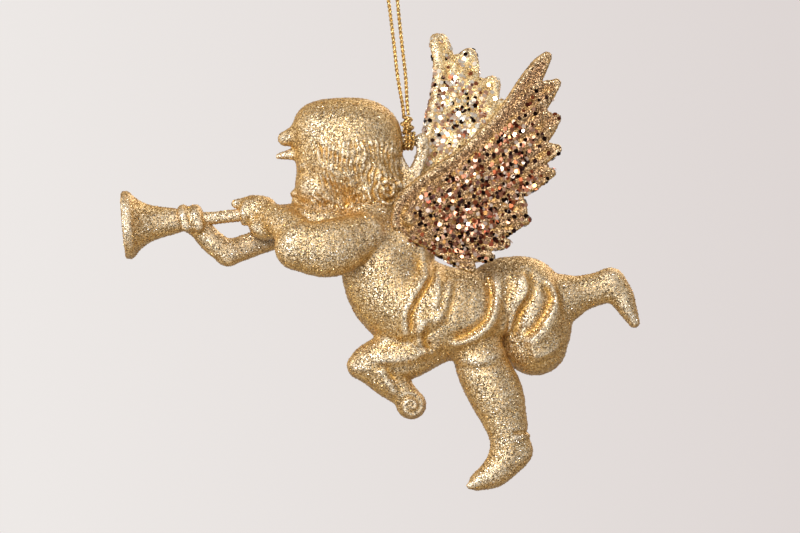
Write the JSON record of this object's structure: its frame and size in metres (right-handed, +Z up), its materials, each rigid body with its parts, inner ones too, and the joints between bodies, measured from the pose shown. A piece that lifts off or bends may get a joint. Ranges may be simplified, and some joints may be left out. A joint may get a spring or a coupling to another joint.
{
  "type": "hanging angel figurine",
  "caption": "Glitter-coated resin cherub flying and blowing a trumpet, with flaked wings, hung on a loop of metallic cord.",
  "frame": {"origin": "underside of the hanging cord's top bend, where a hook or twig carries the ornament", "axes": "+Z up along the hanging cord, -X the way that the angel flies and points its trumpet, -Y towards its left side"},
  "size_m": [0.1264, 0.0537, 0.1499],
  "materials": {
    "gold_glitter": "cast resin coated all over with fine champagne-gold glitter",
    "flaked_wing": "gold glitter under chunky hexagonal flakes in rose gold, copper, pale pink and near black",
    "metallic_cord": "twisted metallic gold cord"
  },
  "bodies": {
    "cord": {"hanging_cord": "metallic_cord"},
    "knot": {"cord_knot": "metallic_cord"},
    "figurine": {"head": "gold_glitter", "torso": "gold_glitter", "near_arm": "gold_glitter", "far_arm": "gold_glitter", "trumpet": "gold_glitter", "front_drape": "gold_glitter", "rear_drape": "gold_glitter", "standing_leg": "gold_glitter", "standing_foot": "gold_glitter", "trailing_leg": "gold_glitter", "hanging_eye": "gold_glitter", "near_wing": "flaked_wing", "far_wing": "flaked_wing"}
  },
  "joints": [
    {"name": "twirl", "type": "hinge", "parent": "cord", "child": "knot", "pos_m": [0, 0, -0.0535], "axis": [0, 0, 1], "range_deg": [-180, 180]},
    {"name": "swing", "type": "hinge", "parent": "knot", "child": "figurine", "pos_m": [0, 0, -0.06], "axis": [0.9936, 0, -0.1132], "range_deg": [-40, 40]}
  ]
}
